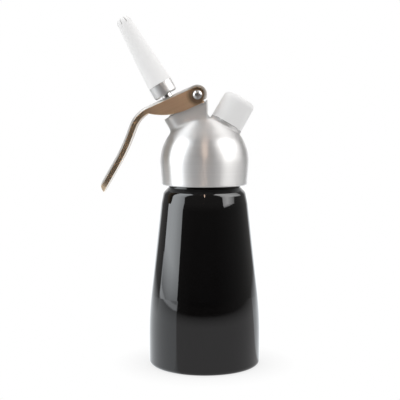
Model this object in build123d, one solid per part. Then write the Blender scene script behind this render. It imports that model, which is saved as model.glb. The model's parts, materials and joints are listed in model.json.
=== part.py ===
from build123d import *
import os
from math import acos, atan2, cos, degrees, radians, sin, sqrt, tan

# Whipped cream dispenser, in millimetres with +Z up. The origin is on the bottle's
# axis, in the plane that the bottle stands on. The nozzle and the lever point to -X,
# the gas port to +X, and the lever's axle lies along Y.

# ---------------------------------------------------------------- driving dimensions
# Clearances
running_gap = 0.05  # radial, between a shaft and its bore
thread_gap = 0.2  # radial, between plain cylinders that stand for threads
guide_gap = 0.08  # radial, between the valve's stem and its guide
face_gap = 0.06  # between faces of pieces that move apart
side_gap = 0.3  # between the lever's cheeks and the head's lug
cut_past = 1.0  # how far a cutter runs past a face that it opens

# Bottle
bottle_r = 37.2
bottle_wall = 1.6
bottle_floor = 2.4
base_dome_rise = 3.0  # of the domed-in middle of the base
standing_ring_width = 3.0
heel_r = 3.0
taper_foot_z = 34.0  # where the straight body turns into the taper
taper_foot_bend = 250.0
shoulder_r = 29.0
shoulder_z = 107.8
shoulder_bend = 40.0
shoulder_draw = 1.7  # how much narrower the shoulder's upper edge is than its foot
shoulder_height = 7.8
shoulder_edge_bend = 4.5
shoulder_edge_height = 3.4  # up to the collar under the head
collar_width = 1.25
collar_height = 1.4
neck_r = 22.75
neck_wall = 3.25
neck_height = 13.84

# Head shell
head_r = 29.4
skirt_draft = 4.4  # degrees that the skirt leans in below the sphere
skirt_gap = 0.3  # between the skirt's rim and the bottle's collar
rim_round = 1.0
gasket_thickness = 1.9
gasket_width = 2.5
gasket_lip = 0.25  # between the gasket's bore and the hollow over the bottle's mouth
thread_relief = 0.4
thread_relief_height = 2.0

# Nozzle boss, gas port boss and lug
nozzle_tilt = -30.0  # degrees from +Z, towards -X
port_tilt = 30.0
nozzle_boss_r = 9.3
nozzle_boss_rise = 7.8  # of its top over the sphere, along the nozzle axis
nozzle_boss_edge = 0.5
port_boss_r = 11.2
port_boss_rise = 0.2
boss_foot_round = 3.5
port_foot_round = 1.5
port_foot_sink = 0.05  # of the flared foot's edge, under the sphere's surface
lug_step_drop = 3.0  # from the pivot down to the step in the lug's back
lug_corner_round = 1.0
lug_stem_sink = 4.0  # of the lug's tapered stem, into the boss
lug_eye_gap = 0.15  # between the lug's eye and the lever's end wall
lug_relief_gap = 0.1  # between the lug's step and the lever's end wall

# Lever, in its own plane: "along" runs from the pivot towards the grip and "out" is
# square to the plate, away from the head
pivot_x = -4.6
pivot_rise = 14.4  # over the top of the sphere
plate_slope = 24.0  # degrees below the horizontal, towards -X
cheek_thickness = 1.9
crown = 1.9  # how far the lever's back bulges over its edges
plate_thickness = 2.2
edge_thickness = 3.0  # of the grip, at its edges
end_r = 6.5  # rounded end, at the crown
end_offset = 0.55  # of the rounded end's centre, out from the pivot
end_arc_foot = -3.65  # where the round gives way to the cheeks' straight corner
end_wall_round_foot = -2.0  # where the end wall's inner round gives way to its upright face
end_wall_foot = -4.35
cheek_drop = 6.0
cheek_flat_length = 10.0
cheek_bend = 41.0
plate_length = 32.98
knee_r = 23.0
knee_turn = 45.0
grip_length = 7.1
flare_r = 120.0
flare_turn = 9.0
grip_end_length = 13.0
tip_round = 8.8  # side view
tip_turn = 56.0
tip_belly_reach = 8.0  # of the grip's underside, past the back's straight end
tip_plan_reach = 8.5  # of the rounded plan, past the back's straight end
tip_corner_r = 8.5  # seen square to the grip
crown_spare = 0.1  # raw stock over the crown, which the crown's cut takes off
channel_end = 30.0
channel_ramp = 6.0  # length and inner round of the channel's run-out
slot_gap = 0.5  # on each side of the adapter's thread as it passes through
slot_play = 1.2  # more at each end of the slot, for the neck's swing
pad_r = 1.2
pad_slot_land = 0.3  # between the slot's edge and a press pad
pad_flange_inset = 0.2  # of the press pad's end, from the edge of the adapter's flange
pivot_r = 2.2

# Axle
barrel_flange_r = 3.6
barrel_flange_thickness = 1.3
screw_head_r = 3.2
screw_head_height = 1.7
screw_shank_r = 1.3
screw_length = 12.0
screw_end_gap = 0.5  # between the screw's end and the bottom of its hole
cross_slot_width = 0.9
cross_slot_length = 3.6
cross_slot_depth = 1.0

# Valve, along the nozzle axis from the sphere's centre
seat_lip = 1.5  # depth of the piston's recess over the head's hollow
chamber_gap = 1.3  # between the stem and the chamber's wall
chamber_height = 4.0
stem_r = 3.9
stem_wall = 2.4
stem_ring_r = 0.7  # section of the O-ring
guide_length = 5.5
spring_gap = 0.7  # between the spring and its pocket
spring_wire_r = 0.5
spring_stem_gap = 1.0  # between the spring and the stem
spring_turns = 5
piston_thickness = 2.6
piston_edge = 1.0
seal_thickness = 2.45
seal_r = 6.9
seal_lap = 0.5  # of the seal over the piston's edge
seal_gap = 0.7  # between the seal and its recess in the head
side_port_r = 1.2
side_ports = 4
stem_bore_sump = 0.6  # below the side ports
adapter_lift = 5.95  # of the adapter's flange over the nozzle boss
adapter_flange_inset = 0.8  # of its edge, from the boss's side
adapter_flange_thickness = 2.2
adapter_flange_edge = 0.4
adapter_thread_length = 5.0  # of the spindle inside the adapter
spindle_thread_step = 1.5  # from the stem down to its thread
adapter_neck_r = 3.5
adapter_neck_length = 5.55
adapter_thread_r = 4.8
adapter_bore_r = 2.0

# Nozzle
tip_collar_r = 8.0
tip_collar_height = 8.2
tip_collar_roof = 1.0  # over the female thread
tip_collar_edge = 0.8
spigot_r = 6.2
spigot_height = 4.0
spigot_bore_r = 3.6
tip_foot_r = 8.3
tip_length = 50.2
tip_nose_r = 4.7  # of the taper, carried on to the tip's end
tip_nose_flat = 0.35  # left at the end by the nose's round
tip_wall = 1.7
tip_mouth_r = 1.5
tip_slits = 8
tip_slit_width = 0.7
tip_slit_length = 4.4

# Gas inlet, along the port axis from the sphere's centre
inlet_thread_r = 8.5
inlet_spigot_height = 12.0
charger_socket_r = 4.8
charger_socket_depth = 9.0
charger_gasket_height = 1.3
charger_gasket_bore_r = 1.9
inlet_stem_r = 5.0
inlet_bore_r = 0.8
nut_face_depth = 0.5  # of the nut's flat, over the head's hollow
nut_thickness = 3.6
nut_wall = 1.0
nut_pocket_gap = 0.9  # for a wrench, round the nut's corners
washer_thickness = 1.0
washer_width = 2.2
nipple_r = 3.2
nipple_length = 4.6
nipple_port_r = 0.7
sleeve_thickness = 1.3
sleeve_length = 3.2
sleeve_offset = 0.6
pin_r = 1.0
pin_base_r = 1.6
pin_base_depth = 2.4
pin_length = 5.2
pin_point_length = 1.6
pin_point_land = 0.1
pin_bore_r = 0.4

# Port cap
cap_foot_gap = 0.3  # between the cap and the port boss
cap_height = 18.6
cap_depth = 16.2
cap_draft_r = 0.35  # how much narrower the cap is at its top
cap_edge_round = 4.0
cap_dome_rise = 0.8

# ---------------------------------------------------------------- derived sizes
base_dome_r = bottle_r - heel_r - standing_ring_width
shoulder_edge_r = shoulder_r - shoulder_draw
shoulder_edge_z = shoulder_z + shoulder_height
collar_r = neck_r + collar_width
collar_z = shoulder_edge_z + shoulder_edge_height
collar_top_z = collar_z + collar_height
neck_bore_r = neck_r - neck_wall
mouth_z = collar_top_z + neck_height

rim_z = collar_top_z + skirt_gap
bore_r = neck_r + thread_gap + running_gap
gasket_bore_r = neck_r - gasket_width
gasket_z = mouth_z + face_gap
gasket_seat_z = gasket_z + gasket_thickness
head_centre_z = gasket_seat_z
bell_r = gasket_bore_r - gasket_lip

pivot_z = head_centre_z + head_r + pivot_rise
plate_along = (-cos(radians(plate_slope)), 0, -sin(radians(plate_slope)))

crown_out = end_offset + end_r  # the crown's distance from the pivot
roof_out = crown_out - plate_thickness
grip_thickness = crown + edge_thickness
channel_half_width = nozzle_boss_r + side_gap
lever_half_width = channel_half_width + cheek_thickness
end_inner_r = roof_out - end_offset
lug_eye_r = end_inner_r - end_offset - lug_eye_gap
lug_relief_r = end_r + lug_relief_gap
lug_back_x = pivot_x + lug_relief_r
lug_step_z = pivot_z - lug_step_drop

# Along the nozzle axis from the sphere's centre
seat_s = bell_r + seat_lip
chamber_top_s = seat_s + chamber_height
side_port_s = (seat_s + chamber_top_s) / 2
spring_seat_s = chamber_top_s + guide_length
stem_groove_s = (chamber_top_s + spring_seat_s) / 2
nozzle_boss_top = head_r + nozzle_boss_rise
piston_top_s = seat_s - face_gap - seal_thickness
adapter_s = nozzle_boss_top + adapter_lift
adapter_top_s = adapter_s + adapter_flange_thickness
spindle_top_s = adapter_s + adapter_thread_length
tip_collar_s = adapter_top_s + adapter_neck_length
tip_collar_thread_top_s = tip_collar_s + tip_collar_height - tip_collar_roof
tip_foot_s = tip_collar_s + tip_collar_height

chamber_r = stem_r + chamber_gap
stem_bore_r = stem_r - stem_wall
stem_ring_mean_r = stem_r + running_gap + stem_ring_r
spindle_thread_r = stem_r - spindle_thread_step
spring_mean_r = stem_r + spring_stem_gap + spring_wire_r
spring_pocket_r = spring_mean_r + spring_wire_r + spring_gap
piston_r = seal_r - seal_lap
seat_face_r = seal_r + seal_gap
adapter_flange_r = nozzle_boss_r - adapter_flange_inset
slot_half_width = adapter_thread_r + slot_gap
slot_half_length = slot_half_width + slot_play
pad_inner_y = slot_half_width + pad_slot_land
pad_outer_y = adapter_flange_r - pad_flange_inset

tip_nose_round = tip_nose_r - tip_nose_flat

# Along the port axis from the sphere's centre
port_boss_top = head_r + port_boss_rise
nut_face_s = bell_r + nut_face_depth
nut_flat_r = inlet_stem_r + nut_wall
nut_pocket_r = nut_flat_r / cos(radians(30)) + nut_pocket_gap
inlet_top_s = port_boss_top + inlet_spigot_height
socket_floor_s = inlet_top_s - charger_socket_depth
nut_bottom_s = nut_face_s - nut_thickness
nipple_bottom_s = nut_bottom_s - nipple_length

barrel_front_y = -lever_half_width - face_gap


# ---------------------------------------------------------------- helpers
def tilted_plane(tilt):
    """Plane at the sphere's centre whose normal leans by tilt degrees towards +X."""
    lean = radians(tilt)
    return Plane(
        origin=(0, 0, head_centre_z),
        x_dir=(cos(lean), 0, -sin(lean)),
        z_dir=(sin(lean), 0, cos(lean)),
    )


nozzle_plane = tilted_plane(nozzle_tilt)
port_plane = tilted_plane(port_tilt)
# The lever's side view: x runs along the plate and y out of it
lever_plane = Plane(origin=(pivot_x, 0, pivot_z), x_dir=plate_along, z_dir=(0, 1, 0))
# The axle's frame: z runs along +Y
axle_plane = Plane(origin=(pivot_x, 0, pivot_z), x_dir=(1, 0, 0), z_dir=(0, 1, 0))


def turned(*outline):
    """Solid turned about Z from a closed outline of (radius, height) corners."""
    return revolve(Plane.XZ * make_face(Polyline(*outline, close=True)), Axis.Z)


def turned_face(edges):
    """Solid turned about Z from a closed chain of edges in (radius, height)."""
    return revolve(Plane.XZ * make_face(edges), Axis.Z)


def rod(radius, low, high):
    """Cylinder about Z between two heights."""
    return Pos(0, 0, low) * Cylinder(radius, high - low, align=(Align.CENTER, Align.CENTER, Align.MIN))


def ring(inner, outer, low, high):
    return rod(outer, low, high) - rod(inner, low - cut_past, high + cut_past)


# ---------------------------------------------------------------- bottle
def bottle_skin():
    """The outside of the bottle, turned from heel to mouth."""
    dome = TangentArc((0, base_dome_rise), (base_dome_r, 0), tangent=(1, 0))
    side = FilletPolyline(
        (base_dome_r, 0),
        (bottle_r, 0),
        (bottle_r, taper_foot_z),
        (shoulder_r, shoulder_z),
        (shoulder_edge_r, shoulder_edge_z),
        (collar_r, collar_z),
        radius=[heel_r, taper_foot_bend, shoulder_bend, shoulder_edge_bend],
    )
    neck = Polyline(
        (collar_r, collar_z),
        (collar_r, collar_top_z),
        (neck_r, collar_top_z),
        (neck_r, mouth_z),
        (0, mouth_z),
        (0, base_dome_rise),
    )
    return turned_face(dome + side + neck)


def bottle_hollow():
    """The space inside the bottle, one wall inside its skin."""
    dome = TangentArc(
        (0, base_dome_rise + bottle_floor), (base_dome_r, bottle_floor), tangent=(1, 0)
    )
    side = FilletPolyline(
        (base_dome_r, bottle_floor),
        (bottle_r - bottle_wall, bottle_floor),
        (bottle_r - bottle_wall, taper_foot_z),
        (shoulder_r - bottle_wall, shoulder_z),
        (neck_bore_r, shoulder_edge_z),
        (neck_bore_r, mouth_z + cut_past),
        radius=[heel_r - bottle_wall, taper_foot_bend, shoulder_edge_bend, shoulder_edge_bend],
    )
    axis = Polyline(
        (neck_bore_r, mouth_z + cut_past), (0, mouth_z + cut_past), (0, base_dome_rise + bottle_floor)
    )
    return turned_face(dome + side + axis)


def bottle():
    return bottle_skin() - bottle_hollow()


# ---------------------------------------------------------------- head
def head_skin():
    """Sphere with a slightly conical skirt down to a rounded rim."""
    lean = radians(skirt_draft)
    joint = (head_r * cos(lean), head_centre_z - head_r * sin(lean))
    rim_r = joint[0] - (joint[1] - rim_z) * tan(lean)
    cap = ThreePointArc(
        (0, head_centre_z + head_r),
        (head_r * cos(radians(45)), head_centre_z + head_r * sin(radians(45))),
        joint,
    )
    skirt = FilletPolyline(joint, (rim_r, rim_z), (0, rim_z), radius=rim_round)
    axis = Line((0, rim_z), (0, head_centre_z + head_r))
    return turned_face(cap + skirt + axis)


def lug_side():
    """Side view of nozzle boss and lug in the XZ plane: boss top, flank, eye, step and back."""

    def beside_axis(across, s):
        spot = nozzle_plane.from_local_coords((across, 0, s))
        return (spot.X, spot.Z)

    boss_corner = beside_axis(nozzle_boss_r, nozzle_boss_top)
    block = Polyline(
        beside_axis(-nozzle_boss_r - cut_past, bell_r),
        beside_axis(-nozzle_boss_r - cut_past, nozzle_boss_top),
        boss_corner,
        (lug_back_x, lug_step_z),
        (lug_back_x, head_centre_z + bell_r),
        close=True,
    )
    eye = Pos(pivot_x, pivot_z) * Circle(lug_eye_r)
    foot = Polyline(boss_corner, (pivot_x + lug_eye_r, boss_corner[1] - lug_stem_sink))
    stem = make_hull(eye.edges() + foot.edges())
    relief = Pos(pivot_x, pivot_z) * Circle(lug_relief_r)
    return (make_face(block) - relief) + stem


def boss_and_lug():
    """A bar with a half-round front along the nozzle axis, trimmed to the side view."""
    bar = Circle(nozzle_boss_r) + Pos(head_r, 0) * Rectangle(2 * head_r, 2 * nozzle_boss_r)
    bar = nozzle_plane * extrude(bar, 2 * head_r)
    side = extrude(Plane.XZ * lug_side(), nozzle_boss_r + cut_past, both=True)
    body = bar & side
    corners = [
        e for e in body.edges().filter_by(Axis.Z) if abs(e.center().X - lug_back_x) < 0.01
    ]
    body = fillet(corners, lug_corner_round)
    rims = []
    for edge in body.edges().filter_by(GeomType.CIRCLE):
        if abs(nozzle_plane.to_local_coords(edge.center()).Z - nozzle_boss_top) < 0.01:
            rims.append(edge)
    return fillet(rims, nozzle_boss_edge)


def foot_edges(body):
    """Edges where the nozzle boss and the lug leave the sphere."""
    centre = Vector(0, 0, head_centre_z)
    found = []
    for edge in body.edges():
        spots = [edge @ t - centre for t in (0, 0.3, 0.5, 1)]
        if all(abs(spot.length - head_r) < 0.01 and spot.Z > head_r / 3 for spot in spots):
            found.append(edge)
    return found


def port_boss():
    """Round boss whose flared foot runs out just under the sphere's surface."""
    bend_r = port_boss_r + port_foot_round
    bend_s = sqrt((head_r + port_foot_round) ** 2 - bend_r**2) - port_foot_sink
    foot = JernArc(
        (port_boss_r, bend_s), (0, -1), port_foot_round, degrees(atan2(bend_s, bend_r))
    )
    rest = Polyline(foot @ 1, (0, bell_r), (0, port_boss_top), (port_boss_r, port_boss_top), foot @ 0)
    return port_plane * turned_face(foot + rest)


def head():
    skin = head_skin()
    body = skin + boss_and_lug()
    body = fillet(foot_edges(body), boss_foot_round)
    body += port_boss()

    # Screw thread and bell over the bottle's mouth
    body -= rod(bore_r, rim_z - cut_past, gasket_seat_z)
    body -= rod(bore_r + thread_relief, gasket_z - thread_relief_height, gasket_seat_z)
    body -= Pos(0, 0, gasket_seat_z) * (Sphere(bell_r) & rod(bell_r + cut_past, 0, bell_r + cut_past))

    # Valve: seat, chamber, guide with its ring groove, and spring pocket
    groove = stem_ring_r + running_gap
    valve_room = (
        rod(seat_face_r, 0, seat_s)
        + rod(chamber_r, seat_s - cut_past, chamber_top_s)
        + rod(stem_r + guide_gap, chamber_top_s - cut_past, spring_seat_s + cut_past)
        + rod(stem_r + running_gap + 2 * stem_ring_r, stem_groove_s - groove, stem_groove_s + groove)
        + rod(spring_pocket_r, spring_seat_s, nozzle_boss_top + cut_past)
    )
    body -= nozzle_plane * valve_room

    # Gas port: washer recess, hole and a flat for the nut
    recess_r = inlet_stem_r + washer_width + running_gap
    port_room = (
        rod(recess_r, port_boss_top - washer_thickness, port_boss_top + cut_past)
        + rod(inlet_stem_r + running_gap, nut_face_s - cut_past, port_boss_top)
        + rod(nut_pocket_r, 0, nut_face_s)
    )
    body -= port_plane * port_room
    body -= axle_plane * rod(pivot_r, -bottle_r, bottle_r)
    return body


def head_gasket():
    return ring(gasket_bore_r, neck_r, gasket_z, gasket_seat_z)


def stem_seal():
    return nozzle_plane * (Pos(0, 0, stem_groove_s) * Torus(stem_ring_mean_r, stem_ring_r))


# ---------------------------------------------------------------- lever
def lever_line(depth, start, end_length):
    """Side view of the lever's back at a depth under the crown, from the plate to the grip's end."""
    plate = Line((start, crown_out - depth), (plate_length, crown_out - depth))
    knee = JernArc(plate @ 1, plate % 1, knee_r - depth, -knee_turn)
    grip = PolarLine(knee @ 1, grip_length, direction=knee % 1)
    flare = JernArc(grip @ 1, grip % 1, flare_r + depth, flare_turn)
    end = PolarLine(flare @ 1, end_length, direction=flare % 1)
    return plate + knee + grip + flare + end


def end_arc(radius, foot):
    """The rounded end about its own centre, from a height under the pivot up to the plate."""
    fall = end_offset - foot
    foot_along = -sqrt(radius**2 - fall**2)
    return ThreePointArc((foot_along, foot), (-radius, end_offset), (0, end_offset + radius))


def end_wrap(radius, low):
    """The rounded end with the straight corner that leads into it from below."""
    arc = end_arc(radius, end_arc_foot)
    start, heading = arc @ 0, arc % 0
    corner = start - heading * ((start.Y - low) / heading.Y)
    return Line(corner, start) + arc


def lever_side():
    """Whole side view of the lever, a touch above the crown so that the crown is cut clean."""
    back = lever_line(-crown_spare, 0, grip_end_length)
    tip = JernArc(back @ 1, back % 1, tip_round, -tip_turn)
    belly = lever_line(grip_thickness, cheek_flat_length, grip_end_length + tip_belly_reach)
    grip_side = make_face(
        back + tip + Line(tip @ 1, belly @ 1) + belly + Line(belly @ 0, back @ 0)
    )

    # The cheeks run straight under the plate, then bend up to meet the grip's underside
    belly_out = crown_out - grip_thickness
    rise = belly_out + cheek_drop
    end = end_wrap(end_r + crown_spare, -cheek_drop)
    cheek_flat = Line(end @ 0, (cheek_flat_length, -cheek_drop))
    cheek_curve = JernArc(cheek_flat @ 1, (1, 0), cheek_bend, degrees(acos(1 - rise / cheek_bend)))
    above = Polyline(
        cheek_curve @ 1, (plate_length, belly_out), (plate_length, crown_out + crown_spare), end @ 1
    )
    return make_face(end + cheek_flat + cheek_curve + above) + grip_side


def crown_cutter():
    """Everything outside the crowned back, swept along the whole lever."""
    reach = lever_half_width + cut_past
    bend = (lever_half_width**2 + crown**2) / (2 * crown)
    sag = bend - sqrt(bend**2 - reach**2)
    back = lever_line(0, 0, grip_end_length + 2 * tip_plan_reach)
    path = end_wrap(end_r, -cheek_drop - crown_spare) + back
    arc = ThreePointArc((-reach, sag), (0, 0), (reach, sag))
    lid = Polyline((reach, sag), (reach, -cut_past), (-reach, -cut_past), (-reach, sag))
    section = Plane(origin=path @ 0, x_dir=(0, 0, 1), z_dir=path % 0) * make_face(arc + lid)
    return sweep(section, path=path)


def channel():
    """The hollow between the cheeks, with its roof under the plate and a round at the end wall."""
    wall = end_arc(end_inner_r, end_wall_round_foot)
    below = -cheek_drop - cut_past
    # Below its round the end wall stands upright beside the lug's stem
    upright = end_wall_round_foot - end_wall_foot
    wall_foot = wall @ 0 + Vector(upright * tan(radians(plate_slope)), -upright)
    rest = FilletPolyline(
        (0, roof_out),
        (channel_end, roof_out),
        (channel_end + channel_ramp, crown_out - grip_thickness - cut_past),
        (channel_end + channel_ramp, below),
        (-end_r - cut_past, below),
        (-end_r - cut_past, end_wall_foot),
        wall_foot,
        wall @ 0,
        radius=[channel_ramp, 0, 0, 0, 0, 0],
    )
    return extrude(make_face(wall + rest), channel_half_width, both=True)


def tip_corners():
    """What the rounded plan of the grip's end leaves over."""
    back = lever_line(0, 0, grip_end_length + tip_plan_reach)
    plan = Plane(origin=back @ 1, x_dir=back % 1, z_dir=Vector(0, 0, 1).cross(back % 1))
    block = Pos(-tip_corner_r, 0) * Rectangle(
        2 * tip_corner_r, 2 * (lever_half_width + cut_past), align=(Align.MIN, Align.CENTER)
    )
    kept = Rectangle(4 * tip_corner_r, 2 * lever_half_width, align=(Align.MAX, Align.CENTER))
    kept = fillet(kept.vertices().group_by(Axis.X)[-1], tip_corner_r)
    return extrude(plan * (block - kept), 3 * grip_thickness, both=True)


def lever():
    body = extrude(lever_side(), lever_half_width, both=True)
    body -= crown_cutter()
    body -= channel()
    body -= tip_corners()

    # Press pads that bear on the adapter's flange, on each side of the nozzle
    pad_s = adapter_top_s + face_gap + pad_r
    pad_spot = lever_plane.to_local_coords(nozzle_plane.from_local_coords((0, 0, pad_s)))
    post = Rectangle(
        2 * pad_r, roof_out + plate_thickness / 2 - pad_spot.Y, align=(Align.CENTER, Align.MIN)
    )
    pad = extrude(Circle(pad_r) + post, pad_outer_y - pad_inner_y)
    pad = Pos(pad_spot.X, pad_spot.Y, pad_inner_y) * pad
    body += pad + mirror(pad, Plane.XY)

    # Slot that the adapter's neck passes through
    slot = SlotOverall(2 * slot_half_length, 2 * slot_half_width)
    slot_spot = Plane(
        origin=(pad_spot.X, pad_spot.Y, 0), x_dir=(1, 0, 0), z_dir=(0, 1, 0)
    )
    body -= extrude(slot_spot * slot, 2 * crown_out)

    # Axle holes
    body -= Cylinder(pivot_r + running_gap, 4 * lever_half_width)
    return lever_plane * body


# ---------------------------------------------------------------- axle
def pivot_barrel():
    rear_y = lever_half_width + face_gap
    flange_y = rear_y + barrel_flange_thickness
    body = rod(pivot_r, barrel_front_y, flange_y) + rod(barrel_flange_r, rear_y, flange_y)
    body -= rod(screw_shank_r, barrel_front_y - cut_past, barrel_front_y + screw_length)
    return axle_plane * body


def pivot_screw():
    bend = (screw_head_r**2 + screw_head_height**2) / (2 * screw_head_height)
    top = barrel_front_y - screw_head_height
    dome = Pos(0, 0, top + bend) * Sphere(bend)
    body = dome & rod(screw_head_r, top, barrel_front_y)
    body += rod(screw_shank_r, barrel_front_y, barrel_front_y + screw_length - screw_end_gap)
    cross = Rectangle(cross_slot_length, cross_slot_width)
    cross += Rectangle(cross_slot_width, cross_slot_length)
    body -= Pos(0, 0, top) * extrude(cross, cross_slot_depth)
    return axle_plane * body


# ---------------------------------------------------------------- valve
def valve_spring():
    wire = spring_wire_r
    low = spring_seat_s + wire + face_gap
    high = adapter_s - wire - face_gap
    coil = Helix((high - low) / spring_turns, high - low, spring_mean_r)
    section = Plane(origin=coil @ 0, z_dir=coil % 0) * Circle(wire)
    return nozzle_plane * (Pos(0, 0, low) * sweep(section, path=coil, is_frenet=True))


def valve_spindle():
    piston_low = piston_top_s - piston_thickness
    body = turned(
        (0, piston_low),
        (piston_r - piston_edge, piston_low),
        (piston_r, piston_low + piston_edge),
        (piston_r, piston_top_s),
        (stem_r, piston_top_s),
        (stem_r, adapter_s),
        (spindle_thread_r, adapter_s),
        (spindle_thread_r, spindle_top_s),
        (0, spindle_top_s),
    )
    body -= rod(stem_bore_r, side_port_s - side_port_r - stem_bore_sump, spindle_top_s + cut_past)
    port = Pos(0, 0, side_port_s) * (Rot(0, 90, 0) * rod(side_port_r, 0, stem_r + cut_past))
    for n in range(side_ports):
        body -= Rot(0, 0, 360 / side_ports * n) * port
    return nozzle_plane * body


def piston_seal():
    return nozzle_plane * ring(stem_r, seal_r, piston_top_s, piston_top_s + seal_thickness)


def nozzle_adapter():
    top = tip_collar_thread_top_s - thread_gap
    body = turned(
        (0, adapter_s),
        (adapter_flange_r - adapter_flange_edge, adapter_s),
        (adapter_flange_r, adapter_s + adapter_flange_edge),
        (adapter_flange_r, adapter_top_s),
        (adapter_neck_r, adapter_top_s),
        (adapter_neck_r, tip_collar_s),
        (adapter_thread_r, tip_collar_s),
        (adapter_thread_r, top),
        (0, top),
    )
    body -= rod(spindle_thread_r, adapter_s - cut_past, spindle_top_s)
    body -= rod(adapter_bore_r, spindle_top_s - cut_past, top + cut_past)
    return nozzle_plane * body


# ---------------------------------------------------------------- nozzle
def tip_collar():
    top = tip_foot_s
    body = turned(
        (0, tip_collar_s),
        (tip_collar_r - tip_collar_edge, tip_collar_s),
        (tip_collar_r, tip_collar_s + tip_collar_edge),
        (tip_collar_r, top),
        (spigot_r, top),
        (spigot_r, top + spigot_height),
        (0, top + spigot_height),
    )
    body -= rod(
        adapter_thread_r + thread_gap, tip_collar_s - cut_past, tip_collar_thread_top_s
    )
    body -= rod(spigot_bore_r, tip_collar_s, top + spigot_height + cut_past)
    return nozzle_plane * body


def decorating_tip():
    """Tapered nozzle with a rounded nose that slits split into petals."""
    taper = (tip_foot_r - tip_nose_r) / tip_length
    top = tip_foot_s + tip_length
    outside = FilletPolyline(
        (0, tip_foot_s),
        (tip_foot_r, tip_foot_s),
        (tip_nose_r, top),
        (0, top),
        radius=[0, tip_nose_round],
    )
    body = turned_face(outside + Line((0, top), (0, tip_foot_s)))
    socket_top = tip_foot_s + spigot_height
    inside_foot_r = tip_foot_r - tip_wall - spigot_height * taper
    inside_top = top - tip_wall
    inside = FilletPolyline(
        (0, socket_top),
        (inside_foot_r, socket_top),
        (tip_nose_r - tip_wall, inside_top),
        (0, inside_top),
        radius=[0, tip_nose_round - tip_wall],
    )
    body -= turned_face(inside + Line((0, inside_top), (0, socket_top)))
    body -= rod(spigot_r, tip_foot_s - cut_past, socket_top)
    body -= rod(tip_mouth_r, inside_top - cut_past, top + cut_past)
    slit = Pos(0, 0, top - tip_slit_length) * Box(
        tip_foot_r,
        tip_slit_width,
        tip_slit_length + cut_past,
        align=(Align.MIN, Align.CENTER, Align.MIN),
    )
    for n in range(tip_slits):
        body -= Rot(0, 0, 360 / tip_slits * (n + 0.5)) * slit
    return nozzle_plane * body


# ---------------------------------------------------------------- gas inlet
def gas_inlet_body():
    body = turned(
        (0, nipple_bottom_s),
        (nipple_r, nipple_bottom_s),
        (nipple_r, nut_bottom_s),
        (inlet_stem_r, nut_bottom_s),
        (inlet_stem_r, port_boss_top),
        (inlet_thread_r, port_boss_top),
        (inlet_thread_r, inlet_top_s),
        (0, inlet_top_s),
    )
    body -= rod(charger_socket_r, socket_floor_s, inlet_top_s + cut_past)
    body -= rod(pin_base_r, socket_floor_s - pin_base_depth, socket_floor_s + cut_past)
    port_s = nipple_bottom_s + nipple_length / 2
    body -= rod(inlet_bore_r, port_s, socket_floor_s)
    side_port = rod(nipple_port_r, -nipple_r - cut_past, nipple_r + cut_past)
    body -= Pos(0, 0, port_s) * (Rot(0, 90, 0) * side_port)
    return port_plane * body


def inlet_seal_washer():
    return port_plane * ring(
        inlet_stem_r, inlet_stem_r + washer_width, port_boss_top - washer_thickness, port_boss_top
    )


def inlet_nut():
    hexagon = RegularPolygon(nut_flat_r, 6, major_radius=False)
    body = extrude(hexagon - Circle(inlet_stem_r), nut_thickness)
    return port_plane * (Pos(0, 0, nut_bottom_s) * body)


def check_valve_sleeve():
    low = nipple_bottom_s + sleeve_offset
    return port_plane * ring(nipple_r, nipple_r + sleeve_thickness, low, low + sleeve_length)


def piercing_pin():
    low = socket_floor_s - pin_base_depth
    point = socket_floor_s + pin_length
    body = turned(
        (0, low),
        (pin_base_r, low),
        (pin_base_r, socket_floor_s),
        (pin_r, socket_floor_s),
        (pin_r, point - pin_point_length),
        (pin_bore_r + pin_point_land, point),
        (0, point),
    )
    body -= rod(pin_bore_r, low - cut_past, point + cut_past)
    return port_plane * body


def charger_gasket():
    return port_plane * ring(
        charger_gasket_bore_r, charger_socket_r, socket_floor_s, socket_floor_s + charger_gasket_height
    )


# ---------------------------------------------------------------- port cap
def port_cap():
    low = port_boss_top + cap_foot_gap
    top = low + cap_height
    top_r = port_boss_r - cap_draft_r
    side = FilletPolyline(
        (0, low), (port_boss_r, low), (top_r, top), (0, top + cap_dome_rise), radius=[0, cap_edge_round]
    )
    body = turned_face(side + Line((0, top + cap_dome_rise), (0, low)))
    body -= rod(inlet_thread_r + thread_gap, low - cut_past, low + cap_depth)
    return port_plane * body


# ---------------------------------------------------------------- write the parts
def main():
    os.makedirs("parts", exist_ok=True)
    pieces = (
        bottle,
        head,
        head_gasket,
        stem_seal,
        lever,
        pivot_barrel,
        pivot_screw,
        valve_spring,
        valve_spindle,
        piston_seal,
        nozzle_adapter,
        tip_collar,
        decorating_tip,
        gas_inlet_body,
        inlet_seal_washer,
        inlet_nut,
        check_valve_sleeve,
        piercing_pin,
        charger_gasket,
        port_cap,
    )
    for piece in pieces:
        export_step(piece(), f"parts/{piece.__name__}.step")


main()
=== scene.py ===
"""Dresses a whipped cream dispenser: lacquered bottle, turned head, pressed lever and nozzle."""

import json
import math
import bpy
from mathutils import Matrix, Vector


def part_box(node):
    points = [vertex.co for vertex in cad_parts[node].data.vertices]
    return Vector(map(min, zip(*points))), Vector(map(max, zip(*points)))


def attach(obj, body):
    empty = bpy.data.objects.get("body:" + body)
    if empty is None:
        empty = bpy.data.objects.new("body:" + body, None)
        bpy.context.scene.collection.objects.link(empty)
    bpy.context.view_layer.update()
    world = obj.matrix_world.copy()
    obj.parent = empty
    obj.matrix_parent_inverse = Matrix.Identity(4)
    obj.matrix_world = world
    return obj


bl_info = {
    "name": "Cream Dispenser Dresser",
    "version": (1, 0, 0),
    "blender": (4, 5, 0),
    "location": "View3D > Sidebar > Dispenser",
    "description": "Gives a whipped cream dispenser its finishes, its threads and a small studio",
    "category": "Object",
}

import bpy
from bpy.props import FloatProperty, FloatVectorProperty, PointerProperty
from mathutils import Euler, Vector

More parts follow.
